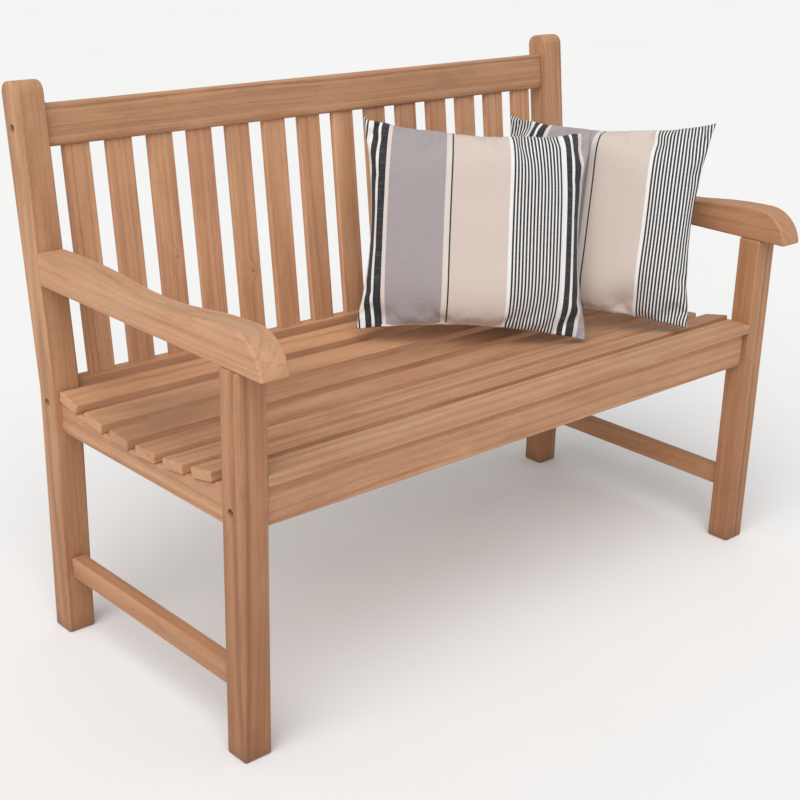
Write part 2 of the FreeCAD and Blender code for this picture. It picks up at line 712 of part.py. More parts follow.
def housings(name):
    """Housings for all the back slats."""
    return [back_slat_box("%s_housing_%02d" % (name, index), index, "joint_clearance")
            for index in range(1, BACK_SLATS + 1)]


def long_rails():
    """Crest rail, lower back rail and front apron, all of one section."""
    inner_x = "-%s / 2" % BETWEEN_LEGS
    size = (BETWEEN_LEGS, "rail_thickness", "rail_height")
    crest_at = (inner_x, lean_y("rail_setback", CREST_ALONG), lean_z("rail_setback", CREST_ALONG))
    crest = timber("crest_rail", size, crest_at, value("arris"), lean="lean")
    node("crest_rail", cut("crest_rail", crest, housings("crest") + rail_tools("crest", "crest")))

    lower_at = (inner_x, plus(POST_FRONT, "rail_setback"), BACK_RAIL_BOTTOM)
    lower = timber("lower_back_rail", size, lower_at, value("arris"))
    tools = housings("lower") + rail_tools("lower", "lower") + [bearer_tenon("lower_notch", True, True)]
    node("lower_back_rail", cut("lower_back_rail", lower, tools))

    apron_at = (inner_x, plus(FRONT, "rail_setback"), RAIL_BOTTOM)
    apron = timber("front_apron", size, apron_at, value("arris"))
    tools = rail_tools("apron", "apron") + [bearer_tenon("apron_notch", False, True)]
    for place_of in apron_screw_places():
        tools += screw_tools(place_of, RAIL_BOTTOM)
    node("front_apron", cut("front_apron", apron, tools))


# ---------------------------------------------------------------- centre bearer
BEARER_FRONT = "(%s + rail_setback + rail_thickness)" % FRONT
BEARER_BACK = "(%s + rail_setback)" % POST_FRONT
BEARER_STUB = "(rail_thickness / 2)"


def bearer_tenon(name, at_back, mortise):
    """Stub tenon at one end of the centre bearer, or the mortise for it."""
    grow = "joint_clearance" if mortise else "0"
    wide = "(tenon_thickness + 2 * %s)" % grow
    tall = "(rail_height / 3 + 2 * %s)" % grow
    deep = "(%s + arris + %s)" % (BEARER_STUB, grow)
    z = "(%s + tenon_shoulder - %s)" % (BACK_RAIL_BOTTOM, grow)
    y = minus(BEARER_BACK, "arris") if at_back else "(%s + arris - %s)" % (BEARER_FRONT, deep)
    return box(name, (wide, deep, tall), ("-%s / 2" % wide, y, z))


def centre_bearer():
    """Hidden bearer under the middle of the seat, from the apron to the lower back rail."""
    length = "(%s - %s)" % (BEARER_BACK, BEARER_FRONT)
    rail = dished_rail("centre_bearer", "-rail_thickness / 2", BEARER_FRONT, length)
    ends = [bearer_tenon("bearer_back", True, False), bearer_tenon("bearer_front", False, False)]
    whole = fuse("centre_bearer_whole", [rail] + ends)
    tools = []
    for place_of in screw_places("centre"):
        tools += screw_tools(place_of, RAIL_BOTTOM)
    node("centre_bearer", cut("centre_bearer", whole, tools))


# ---------------------------------------------------------------- slats
def back_slats():
    """Upright slats housed in the crest rail and the lower back rail."""
    for index in range(1, BACK_SLATS + 1):
        name = "back_slat_%02d" % index
        stick = back_slat_box(name + "_stick", index, "0")
        node(name, ease(name, stick, value("slat_arris"), lambda edge: edge.Length > 100))


def seat_slats():
    """Seat slats on the dish, from the front of the seat to the back, and the front slat."""
    length = "(overall_width - 2 * seat_slat_inset)"
    size = (length, "seat_slat_width", "seat_slat_thickness")
    for index in range(1, SEAT_SLATS + 1):
        name = "seat_slat_%d" % index
        tilt = slat_tilt(index)
        y = "(%s - seat_slat_width / 2 * cos(%s))" % (slat_y(index), tilt)
        z = "(%s - seat_slat_width / 2 * sin(%s))" % (slat_bottom(index), tilt)
        at = ("-%s / 2" % length, y, z)
        stick = timber(name, size, at, value("slat_arris"), lean="-1 * (%s)" % tilt)
        tools = [pilot(name, place_of) for support in SUPPORTS
                 for place_of in screw_places(support) if place_of[0].endswith("_%d" % index)]
        node(name, cut(name, stick, tools))
    size = (BETWEEN_LEGS, "seat_slat_width", "seat_slat_thickness")
    stick = timber("front_seat_slat", size, ("-%s / 2" % BETWEEN_LEGS, FRONT, "rail_top"),
                   value("slat_arris"))
    tools = [pilot("front_seat_slat", place_of) for place_of in apron_screw_places()]
    node("front_seat_slat", cut("front_seat_slat", stick, tools))


# ---------------------------------------------------------------- fasteners
def frame_fasteners():
    """Bolts, washers, barrel nuts and dowels of the six bolted joints."""
    bolts, washers, nuts, dowels = [], [], [], []
    for joint, (y, z, slope) in BOLTED.items():
        for label, side in SIDES:
            tag = "%s_%s" % (joint, label)
            washer_near = "(counterbore_depth - washer_thickness)"
            ring = rod("washer_disc_" + tag, "washer_diameter / 2", "washer_thickness",
                       (side_x(side, washer_near, "washer_thickness"), y, z), "X")
            hole = rod("washer_hole_" + tag, "(bolt_diameter / 2 + joint_clearance)",
                       "(washer_thickness + 2)",
                       (side_x(side, minus(washer_near, "1"), "(washer_thickness + 2)"), y, z), "X")
            washers.append(cut("washer_" + tag, ring, [hole]))
            head_near = "(counterbore_depth - washer_thickness - bolt_head_height)"
            head = rod("bolt_head_" + tag, "bolt_head / 2", "bolt_head_height",
                       (side_x(side, head_near, "bolt_head_height"), y, z), "X")
            socket = rod("bolt_socket_" + tag, "bolt_head / 4", "bolt_head_height",
                         (side_x(side, minus(head_near, "2"), "bolt_head_height"), y, z), "X")
            length = "(bolt_length + 1)"
            shank = rod("bolt_shank_" + tag, "bolt_diameter / 2", length,
                        (side_x(side, minus(washer_near, "1"), length), y, z), "X")
            bolts.append(cut("bolt_" + tag, fuse("bolt_whole_" + tag, [head, shank]), [socket]))
            start = nut_start(joint, side, "(rail_thickness / 2 + nut_length / 2)")
            barrel = rod("nut_barrel_" + tag, "nut_diameter / 2", "nut_length", start, "Y", slope)
            through = rod("nut_thread_" + tag, "(bolt_diameter / 2 + thread_clearance)", "40",
                          (side_x(side, "(leg_width + nut_from_end - 20)", "40"), y, z), "X")
            nuts.append(cut("nut_" + tag, barrel, [through]))
            near = "(leg_width - dowel_length / 2)"
            rise_y = "(dowel_spacing / 2 * sin(lean))" if slope else "0"
            rise_z = "(dowel_spacing / 2 * cos(lean))" if slope else "dowel_spacing / 2"
            for end, sign in (("upper", 1), ("under", -1)):
                at = (side_x(side, near, "dowel_length"), "%s + %d * %s" % (y, sign, rise_y),
                      "%s + %d * %s" % (z, sign, rise_z))
                dowels.append(rod("dowel_%s_%s" % (tag, end), "dowel_diameter / 2", "dowel_length",
                                  at, "X"))
    node("frame_bolts", group("frame_bolts", bolts))
    node("bolt_washers", group("bolt_washers", washers))
    node("barrel_nuts", group("barrel_nuts", nuts))
    node("locating_dowels", group("locating_dowels", dowels))


def seat_screws():
    """Screws driven up from below into every seat slat."""
    places = [place_of for support in SUPPORTS for place_of in screw_places(support)]
    screws = []
    for tag, x, y, z in places + apron_screw_places():
        head_top = minus(z, "screw_grip")
        head = rod("screw_head_" + tag, "screw_head / 2", "screw_head_height",
                   (x, y, minus(head_top, "screw_head_height")))
        shank = rod("screw_shank_" + tag, "screw_diameter / 2",
                    "(screw_grip + screw_bite + 1)", (x, y, minus(head_top, "1")))
        screws.append(fuse("screw_" + tag, [head, shank]))
    node("seat_screws", group("seat_screws", screws))


def arm_pins():
    """Pins that lock the armrests on the legs."""
    pins = [arm_pin_rod("arm_pin_" + label, side, "0") for label, side in SIDES]
    node("arm_pins", group("arm_pins", pins))


# ---------------------------------------------------------------- scatter cushions
# each cushion: turn to the right, backward lean and tilt to its right, in degrees
CUSHIONS = (("left", 37, 24, -3), ("right", 72, 18, 4))
# on a shallower bench the cushions' front corners ride up on the rise of the dish
RIDE_UP = "max(0; cushion_easy_depth - overall_depth) / 6"


def cushion(label, yaw, recline, tilt):
    """Plain closed cushion: a thin seamed edge that swells to a flat crown on both faces."""
    name = "scatter_cushion_" + label
    side = "cushion_side"
    rise = "cushion_rise"
    swell = "((cushion_thickness - cushion_edge) / 2)"
    rim = doc.addObject("Part::Box", name + "_rim")
    bind(rim, Length=side, Width="cushion_edge", Height=rise)
    place(rim, "-%s / 2" % side, "-cushion_edge / 2", "0")
    shells = [rim]
    for tag, sign in (("front", -1), ("back", 1)):
        shell = doc.addObject("Part::Wedge", name + "_" + tag)
        bind(shell, Xmin="0", Xmax=side, Zmin="0", Zmax=rise, Ymin="0", Ymax=swell,
             X2min="(%s - cushion_crown) / 2" % side, X2max="(%s + cushion_crown) / 2" % side,
             Z2min="(%s - cushion_crown) / 2" % rise, Z2max="(%s + cushion_crown) / 2" % rise)
        if sign > 0:
            place(shell, "-%s / 2" % side, "cushion_edge / 2", "0")
        else:
            shell.Placement.Rotation = FreeCAD.Rotation(FreeCAD.Vector(0, 0, 1), 180)
            place(shell, "%s / 2" % side, "-cushion_edge / 2", "0")
        shells.append(shell)
    whole = fuse(name, shells)
    spin = FreeCAD.Rotation(FreeCAD.Vector(0, 0, 1), -yaw)
    tip = FreeCAD.Rotation(FreeCAD.Vector(1, 0, 0), -recline)
    rock = FreeCAD.Rotation(FreeCAD.Vector(0, 1, 0), -tilt)
    whole.Placement.Rotation = spin.multiply(tip).multiply(rock)
    place(whole, "overall_width / 2 - %s_cushion_from_end" % label,
          "(%s - %s_cushion_from_post)" % (POST_FRONT, label),
          "(rail_top + cushion_lift + %s)" % RIDE_UP)
    node(name, whole)


# ---------------------------------------------------------------- the bench
for label, side in SIDES:
    back_post(label, side)
    front_leg(label, side)
    armrest(label, side)
    side_rail(label, side)
    stretcher(label, side)
long_rails()
centre_bearer()
back_slats()
seat_slats()
frame_fasteners()
seat_screws()
arm_pins()
for row in CUSHIONS:
    cushion(*row)
doc.recompute()

# ---------------------------------------------------------------- check and write
for obj in doc.Objects:
    if "Invalid" in obj.State or "Error" in obj.State:
        raise RuntimeError("%s failed: %s" % (obj.Name, obj.State))
for name, obj in nodes.items():
    if obj.Shape.isNull() or not obj.Shape.isValid():
        raise RuntimeError("%s has no valid shape" % name)

os.makedirs("parts", exist_ok=True)
total = FreeCAD.BoundBox()
for name, obj in nodes.items():
    obj.Shape.exportStep("parts/%s.step" % name)
    total.add(obj.Shape.BoundBox)
    print("%-24s %3d solid(s) %10.1f cm3" % (name, len(obj.Shape.Solids), obj.Shape.Volume / 1000))
print("box X %.2f %.2f  Y %.2f %.2f  Z %.2f %.2f" % (
    total.XMin, total.XMax, total.YMin, total.YMax, total.ZMin, total.ZMax))
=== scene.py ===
# %% [markdown]
# # A slatted teak bench with two striped cushions
# The timbers, their rounded edges and their joints come as a finished frame, in metres, standing on
# Z = 0 with +Y towards the back. This lesson gives every timber its own cut of teak, sews and fills
# the two loose cushions, and sets up a plain studio. Each step is a short cell.

# %% Load the frame
import math

import bpy
from mathutils import Euler, Matrix, Vector


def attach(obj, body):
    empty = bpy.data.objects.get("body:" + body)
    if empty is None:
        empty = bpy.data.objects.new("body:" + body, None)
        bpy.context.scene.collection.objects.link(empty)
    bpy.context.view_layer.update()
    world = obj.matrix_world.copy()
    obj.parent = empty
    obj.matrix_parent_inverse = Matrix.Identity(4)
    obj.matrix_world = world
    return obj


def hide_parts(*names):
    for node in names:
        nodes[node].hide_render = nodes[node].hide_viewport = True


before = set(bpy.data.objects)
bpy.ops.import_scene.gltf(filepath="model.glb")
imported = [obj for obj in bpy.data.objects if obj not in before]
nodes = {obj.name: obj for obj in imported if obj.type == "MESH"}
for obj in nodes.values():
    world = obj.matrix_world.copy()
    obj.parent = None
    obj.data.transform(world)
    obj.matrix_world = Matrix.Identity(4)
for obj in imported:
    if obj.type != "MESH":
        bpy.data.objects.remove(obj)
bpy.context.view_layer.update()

# %% [markdown]
# ## The camera
# A bench is long and low, so it is seen from its left-hand front corner, about two and a half metres
# away and from above the armrests. The direction is written as a heading, a tilt and a slight roll,
# which are easier to reason about than a rotation. A small lens shift sets the framing without
# turning the camera.

# %% Place the camera
HEADING, TILT, ROLL = math.radians(43.035), math.radians(21.244), math.radians(1.617)
STANDPOINT = (-1.6391, -1.7288, 1.2373)


def camera_turn(heading, tilt, roll):
    """Rotation of a camera that looks along a heading, tilted down, rolled about its own axis."""
    ahead = Vector((math.sin(heading) * math.cos(tilt), math.cos(heading) * math.cos(tilt),
                    -math.sin(tilt)))
    level = Vector((math.cos(heading), -math.sin(heading), 0))
    above = level.cross(ahead)
    right = level * math.cos(roll) + above * math.sin(roll)
    up = above * math.cos(roll) - level * math.sin(roll)
    return Matrix((right, up, -ahead)).transposed().to_4x4()


camera_data = bpy.data.cameras.new("bench_view")
camera = bpy.data.objects.new("bench_view", camera_data)
bpy.context.scene.collection.objects.link(camera)
camera.matrix_world = Matrix.Translation(STANDPOINT) @ camera_turn(HEADING, TILT, ROLL)
camera_data.sensor_width = 36
camera_data.lens = 65.39
camera_data.shift_x = -0.0217
camera_data.shift_y = 0.0210
bpy.context.scene.camera = camera
print("camera stands at", [round(value, 3) for value in camera.matrix_world.translation])

# %% [markdown]
# ## The studio
# A pale floor and a bright, even surround give the soft catalogue light that shows timber best. One
# very soft light, high to the left and in front, models the edges. It is a sun lamp with a wide
# disc, because that lights the whole floor evenly. The plain view transform keeps pale cloth pale.

# %% Make the floor, the light and the surround
bpy.ops.object.select_all(action="DESELECT")
bpy.ops.mesh.primitive_plane_add(size=24, location=(0, 0, 0))
floor = bpy.context.object
floor.name = "studio_floor"

SHINES_TOWARDS = (0.75, 0.5, -1)
sun_data = bpy.data.lights.new("high_window", "SUN")
sun_data.energy = 2.5
sun_data.angle = math.radians(60)
sun = bpy.data.objects.new("high_window", sun_data)
bpy.context.scene.collection.objects.link(sun)
sun.matrix_world = Vector(SHINES_TOWARDS).to_track_quat("-Z", "Y").to_matrix().to_4x4()

world = bpy.data.worlds.new("studio")
bpy.context.scene.world = world
world.use_nodes = True
surround = world.node_tree.nodes["Background"]
surround.inputs["Color"].default_value = (1, 1, 1, 1)
surround.inputs["Strength"].default_value = 0.56
bpy.context.scene.view_settings.view_transform = "Standard"
print("one", sun.name, "and a white surround")

# %% [markdown]
# ## Shader maths as plain expressions
# A finish is easier to read as a sum than as a web of nodes. `Field` wraps one socket and turns
# `+ - * /` into Math nodes, also with the number first, as in `1 - mask`.

# %% Define a value that varies over a surface


class Field:
    """One value that varies over a surface."""

    def __init__(self, finish, socket):
        self.finish = finish
        self.socket = socket

    def maths(self, operation, first, second=None):
        inputs = {0: first} if second is None else {0: first, 1: second}
        return self.finish.node("ShaderNodeMath", dict(operation=operation), inputs)

    def __add__(self, other):
        return self.maths("ADD", self, other)

    def __radd__(self, other):
        return self.maths("ADD", other, self)

    def __sub__(self, other):
        return self.maths("SUBTRACT", self, other)

    def __rsub__(self, other):
        return self.maths("SUBTRACT", other, self)

    def __mul__(self, other):
        return self.maths("MULTIPLY", self, other)

    def __rmul__(self, other):
        return self.maths("MULTIPLY", other, self)

    def __truediv__(self, other):
        return self.maths("DIVIDE", self, other)

    def root(self):
        return self.maths("SQRT", self)

    def part(self):
        return self.maths("FRACT", self)

    def size(self):
        return self.maths("ABSOLUTE", self)

    def over(self, limit):
        return self.maths("GREATER_THAN", self, limit)

    def under(self, limit):
        return self.maths("LESS_THAN", self, limit)

    def wave(self):
        return self.maths("SINE", self)

    def larger(self, other):
        return self.maths("MAXIMUM", self, other)

    def wrapped(self, length):
        """The value folded back into one repeat."""
        return self.maths("FLOORED_MODULO", self, length)

    def blend(self, factor, other):
        """This value where the factor is 0, the other where it is 1."""
        return self * (1 - factor) + other * factor

    def between(self, low, high):
        """0 at low, 1 at high, smooth in between."""
        inputs = {"Value": self, "From Min": low, "From Max": high}
        return self.finish.node("ShaderNodeMapRange", dict(interpolation_type="SMOOTHSTEP"), inputs)


# %% [markdown]
# `Finish` owns one material. It adds any node with one call: the node's type, its settings, then the
# values or links of its sockets. The shorter methods below it are the nodes that this bench needs
# again and again, mostly noise that is stretched along the grain or the thread.

# %% Define a material being built


class Finish:
    """A material and the nodes that feed it."""

    def __init__(self, name):
        self.material = bpy.data.materials.new(name)
        self.material.use_nodes = True
        self.tree = self.material.node_tree
        self.shader = self.tree.nodes["Principled BSDF"]

    def node(self, kind, settings=None, inputs=None, output=0):
        """Add a node, with its settings made before its sockets are fed."""
        made = self.tree.nodes.new(kind)
        for key, value in (settings or {}).items():
            if key == "stops":
                self.fill_ramp(made.color_ramp, value)
            else:
                setattr(made, key, value)
        for key, value in (inputs or {}).items():
            self.feed(made.inputs[key], value)
        return Field(self, made.outputs[output])

    def fill_ramp(self, ramp, stops):
        """Set a ramp's stops, each a place and a colour."""
        while len(ramp.elements) < len(stops):
            ramp.elements.new(0.5)
        for element, (place, colour) in zip(ramp.elements, stops):
            element.position = place
            element.color = (*colour, 1)

    def feed(self, socket, value):
        """Link a field to a socket, or set the socket's own value."""
        if isinstance(value, Field):
            self.tree.links.new(value.socket, socket)
        elif isinstance(value, (tuple, list)) and len(value) == 3 and len(socket.default_value) == 4:
            socket.default_value = (*value, 1)
        else:
            socket.default_value = value

    def set(self, **sockets):
        """Feed the surface shader's own sockets; underscores stand for spaces."""
        for name, value in sockets.items():
            self.feed(self.shader.inputs[name.replace("_", " ")], value)

    def place(self):
        """Where a point lies on the object, in metres."""
        return self.node("ShaderNodeTexCoord", output="Object")

    def turned(self, vector, angles, shift):
        """The place turned by angles and then moved."""
        return self.node("ShaderNodeMapping", {}, {"Vector": vector, "Rotation": angles,
                                                   "Location": shift})

    def stretched(self, vector, factors):
        """The place stretched along each axis."""
        return self.node("ShaderNodeVectorMath", dict(operation="MULTIPLY"), {0: vector, 1: factors})

    def axes(self, vector):
        """The three parts of a vector."""
        split = self.node("ShaderNodeSeparateXYZ", {}, {0: vector}).socket.node
        return [Field(self, socket) for socket in split.outputs]

    def noise(self, vector, scale, detail=2, roughness=0.5):
        """A soft random field about one half."""
        return self.node("ShaderNodeTexNoise", {}, {"Vector": vector, "Scale": scale,
                                                    "Detail": detail, "Roughness": roughness})

    def line_noise(self, value, scale, detail=2):
        """A soft random field along one value."""
        return self.node("ShaderNodeTexNoise", dict(noise_dimensions="1D"),
                         {"W": value, "Scale": scale, "Detail": detail})

    def ramp(self, value, stops, interpolation="LINEAR"):
        """A colour for each value, from stops of a place and a colour."""
        made = self.node("ShaderNodeValToRGB", dict(stops=stops), {0: value})
        made.socket.node.color_ramp.interpolation = interpolation
        return made

    def mix(self, factor, first, second, blend="MIX"):
        """Two colours mixed by a factor."""
        made = self.tree.nodes.new("ShaderNodeMix")
        made.data_type = "RGBA"
        made.blend_type = blend
        for index, value in ((0, factor), (6, first), (7, second)):
            self.feed(made.inputs[index], value)
        return Field(self, made.outputs[2])

    def bump(self, height, distance, strength=1.0):
        """A normal that follows a height in metres."""
        return self.node("ShaderNodeBump", {}, {"Height": height, "Distance": distance,
                                                "Strength": strength})


# %% [markdown]
# The floor is pale and matt, with the faintest mottling so that it doesn't look like a void.

# %% Paint the floor
floor_finish = Finish("studio_floor")
mottle = floor_finish.noise(floor_finish.place(), 1.3, 3)
floor_finish.set(
    Base_Color=floor_finish.ramp(mottle, [(0.3, (0.79, 0.79, 0.785)), (0.7, (0.81, 0.81, 0.805))]),
    Roughness=0.9,
)
floor.data.materials.append(floor_finish.material)
print("floor painted with", floor_finish.material.name)

# %% [markdown]
# ## Teak
# Sawn teak shows the tree in three ways. Growth rings around the tree's heart cut through every
# face, as long flames on a flat-sawn face and as straight lines on a quarter-sawn one. Thin fibres
# and short dark pores run along the timber. Broad warm, pink and grey-green zones drift across it.
# One solid pattern gives all three on every face and on the end grain: rings are bands of distance
# from a heart line that runs beside the timber, and the fibres are noise drawn out along it. Each
# timber gets its own heart line and its own tone, so that no two look cut from one spot, and a few
# tones also hold painted shade.

# %% Name the colours of teak
HONEY = (0.530, 0.280, 0.150)
PALE = (0.610, 0.350, 0.200)
TAN = (0.470, 0.238, 0.124)
BROWN = (0.370, 0.178, 0.088)
UMBER = (0.215, 0.098, 0.048)
GREY_GREEN = (0.430, 0.275, 0.158)
ROSE = (0.480, 0.228, 0.128)
DRY_END = (0.56, 0.32, 0.18)
BLEACHED = (0.47, 0.335, 0.21)
LOW_SHADE = (0.72, 0.63, 0.57)
DAMP = (0.20, 0.11, 0.065)
print("heartwood runs from", BROWN, "to", PALE)

# %% [markdown]
# The rings come first. A timber is a piece cut from a cylinder of rings, so a point's ring follows
# from its distance to the heart line. Each timber has a line of its own, which passes near the middle
# of the bench, so most timbers lie 20 to 90 cm from theirs, as boards from the outside of a log do.
# The line wanders, because a tree isn't straight, and where it turns a flame gets its point.

# %% Define the growth rings


def chance(name, index):
    """A repeatable number from 0 to 1 for a timber."""
    total = sum((place + 1) * ord(letter) for place, letter in enumerate(name))
    return (math.sin(total * 12.9898 + index * 78.233) * 43758.5453) % 1.0


def ring_reach(wood, name, grain, shift):
    """Distance from the heart line, and the wander of that line."""
    heart_across = shift[1] + 0.05 + 0.07 * chance(name, 3)
    heart_deep = shift[2] - 0.09 + 0.18 * chance(name, 4)
    wander = wood.noise(wood.stretched(grain, (1.6, 7, 7)), 1, 2)
    ripple = wood.noise(wood.stretched(grain, (5, 40, 40)), 1, 2)
    _, across, deep = wood.axes(grain)
    side = across - heart_across
    rise = deep - heart_deep
    return (side * side + rise * rise).root() + wander * 0.022 + ripple * 0.0022, wander


# %% [markdown]
# Two marks depend on where a face is. Cut ends face along the grain, so a face's normal finds them.
# Parts low down get less light and feet stand in rain and dust, so the height above the ground finds
# both the painted shade and the foot stains.

# %% Define the ends and the feet


def end_grain(wood, colour, turn, facing):
    """Cut ends take in less oil: lighter, with the rings still showing."""
    lengthwise = Euler(turn, "XYZ").to_matrix().inverted() @ Vector((1, 0, 0))
    toward = wood.node("ShaderNodeVectorMath", dict(operation="DOT_PRODUCT"),
                       {0: facing, 1: tuple(lengthwise)}, "Value").size()
    cut_end = toward.between(0.75, 0.95)
    return wood.mix(cut_end * 0.35, colour, DRY_END), cut_end


def low_painted_shade_and_foot_stain(wood, colour, spot):
    """Painted shade darkens the legs slowly towards the ground, and dust and damp stain the last
    centimetres of a foot.
    """
    height = wood.axes(spot)[2]
    # painted shade: everything below 0.6 m darkens towards the ground, as if it were lit less down
    # there
    low = 1 - height.between(0.0, 0.6)
    colour = wood.mix(low * 0.8, colour, LOW_SHADE, "MULTIPLY")
    stain = wood.noise(spot, 26, 3)
    foot = (1 - (height + stain * 0.03).between(0.012, 0.05)) * 0.55
    return wood.mix(foot, colour, DAMP)


# %% [markdown]
# The finish lays one mark over another: rings, fibres, patches, zones and pores, each a noise with
# its own stretch along the grain. A knot pushes the rings aside and has a dark core. Upper faces
# that take the sun are a little bleached, and cut ends have fine checks.

# %% Define the teak finish


def teak(name, turn, weathered, tone_and_shade, knot):
    """Teak whose grain runs along the turned X axis; a knot has a middle and a radius."""
    wood = Finish("teak_" + name)
    shift = [chance(name, index) * 4 - 2 for index in range(3)]
    spot = wood.place()
    grain = wood.turned(spot, turn, shift)
    reach, wander = ring_reach(wood, name, grain, shift)
    if knot:
        middle, radius = knot
        away = wood.node("ShaderNodeVectorMath", dict(operation="DISTANCE"),
                         {0: spot, 1: middle}, "Value")
        swirl = 1 - away.between(0, radius * 3)
        reach = reach + swirl * radius
    rings = wood.line_noise(reach, 130, 3)
    fine_rings = wood.line_noise(reach, 620, 1)

    fibres = wood.noise(wood.stretched(grain, (4, 380, 380)), 1, 3, 0.6)
    patches = wood.noise(wood.stretched(grain, (7, 38, 38)), 1, 3)
    pores = wood.noise(wood.stretched(grain, (55, 1500, 1500)), 1, 1)
    drift = wood.noise(wood.stretched(grain, (1.1, 11, 11)), 1, 2)
    tint = wood.noise(wood.stretched(grain, (2.3, 17, 17)), 1.7, 2)

    colour = wood.ramp(rings, [(0.24, BROWN), (0.40, TAN), (0.53, HONEY), (0.62, HONEY), (0.80, PALE)])
    colour = wood.mix(fine_rings.between(0.52, 0.80) * 0.24, colour, BROWN)
    colour = wood.mix(fibres.between(0.50, 0.76) * 0.42, colour, BROWN)
    colour = wood.mix(fibres.between(0.50, 0.28) * 0.34, colour, PALE)
    colour = wood.mix(patches.between(0.50, 0.70) * 0.46, colour, BROWN)
    colour = wood.mix(patches.between(0.48, 0.30) * 0.40, colour, PALE)
    colour = wood.mix(drift.between(0.50, 0.72) * 0.42, colour, ROSE)
    colour = wood.mix(tint.between(0.55, 0.75) * (0.30 + 0.4 * weathered), colour, GREY_GREEN)
    colour = wood.mix(pores.between(0.62, 0.74) * 0.30, colour, UMBER)
    if knot:
        core = away + wander * 0.004
        dark_core = 1 - core.between(radius * 0.25, radius * 0.75)
        colour = wood.mix(dark_core * 0.75, colour, UMBER)

    facing = wood.node("ShaderNodeNewGeometry", output="Normal")
    colour, cut_end = end_grain(wood, colour, turn, facing)
    if weathered:
        up = wood.axes(facing)[2].between(0.3, 0.9)
        dull = wood.noise(wood.stretched(grain, (9, 60, 60)), 1, 3).between(0.35, 0.7)
        colour = wood.mix(up * dull * weathered, colour, BLEACHED)
    checks = wood.noise(wood.stretched(grain, (12, 45, 330)), 1, 3).between(0.64, 0.72)
    colour = wood.mix(checks * cut_end * 0.55, colour, UMBER)
    # painted shade low down, and stains on the feet
    colour = low_painted_shade_and_foot_stain(wood, colour, spot)
    # the tone is the board's own colour, and for the front legs and the right armrest also painted
    # shade
    colour = wood.mix(1.0, colour, tone_and_shade, "MULTIPLY")

    relief = fibres * 0.5 + pores.between(0.60, 0.75) * -0.9 + rings * 0.25
    wood.set(
        Base_Color=colour,
        Roughness=0.50 + fibres * 0.16 + pores.between(0.6, 0.75) * 0.15,
        Normal=wood.bump(relief, 0.00028, 0.8),
        Specular_IOR_Level=0.38,
    )
    return wood.material


# %% [markdown]
# Which way the grain runs depends on the timber: along the bench for rails and seat slats, front to
# back for arms, side rails and stretchers, and upright for legs, posts and back slats, which also
# lean. A turn brings each of those directions onto X.

# %% Give every timber its teak
QUARTER = math.pi / 2
ALONG_BENCH = (0, 0, 0)
FRONT_TO_BACK = (0, 0, -QUARTER)
UPRIGHT = (0, QUARTER, 0)
LEANING = (math.radians(6.8), QUARTER, 0)
BENT = (math.radians(3.4), QUARTER, 0)

GRAIN = {
    "back_post": BENT,
    "front_leg": UPRIGHT,
    "armrest": FRONT_TO_BACK,
    "side_rail": FRONT_TO_BACK,
    "stretcher": FRONT_TO_BACK,
    "centre_bearer": FRONT_TO_BACK,
    "crest_rail": ALONG_BENCH,
    "lower_back_rail": ALONG_BENCH,
    "front_apron": ALONG_BENCH,
    "front_seat_slat": ALONG_BENCH,
    "seat_slat": ALONG_BENCH,
    "back_slat": LEANING,
    "arm_pins": ALONG_BENCH,
    "locating_dowels": ALONG_BENCH,
}
WEATHERED = {"armrest": 0.45, "seat_slat": 0.25, "front_seat_slat": 0.3, "crest_rail": 0.2}
# a tone multiplies the colour: boards from another part of the log are darker or redder; the front
# legs' tones are partly painted shade, and the right armrest's is painted shade
TONES_AND_PAINTED_SHADE = {
    # front legs: each board's own colour, darkened further as painted shade for the weaker light low
    # down
    "front_leg_left": (0.80, 0.73, 0.67),
    "front_leg_right": (0.86, 0.80, 0.73),
    "back_post": (0.86, 0.84, 0.81),
    # painted shade: the right armrest is darkened for the cushions' shadow on its inner face
    "armrest_right": (0.86, 0.81, 0.76),
    "crest_rail": (0.90, 0.88, 0.86),
    "back_slat": (1.05, 1.04, 1.04),
    "seat_slat_6": (1.08, 1.07, 1.06),
    "seat_slat_4": (0.92, 0.90, 0.88),
}
# small knots: the middle of each on the timber's face, and its radius
KNOTS = {
    "back_slat_03": ((-0.337, 0.262, 0.600), 0.009),
    "back_slat_05": ((-0.186, 0.256, 0.552), 0.009),
    "seat_slat_2": ((-0.590, -0.097, 0.409), 0.007),
}

timbers = 0
for name, timber in sorted(nodes.items()):
    kind = next((key for key in sorted(GRAIN, key=len, reverse=True) if name.startswith(key)), None)
    if kind is None:
        continue
    spread = 1 + (chance(name, 7) - 0.5) * 0.09
    tone_and_shade = TONES_AND_PAINTED_SHADE.get(name) or TONES_AND_PAINTED_SHADE.get(kind) or (1, 1, 1)
    tone_and_shade = tuple(part * spread for part in tone_and_shade)
    material = teak(name, GRAIN[kind], WEATHERED.get(kind, 0.0), tone_and_shade, KNOTS.get(name))
    for slot in range(len(timber.data.materials)):
        timber.data.materials[slot] = material
    timbers += 1
print(timbers, "timbers finished in teak")

# %% [markdown]
# ## Steel fasteners
# The bolts sit in round recesses, so little of them shows: a dull, turned face. Fine circular or
# lengthwise brushing comes from drawn-out noise in the roughness and a very low relief.

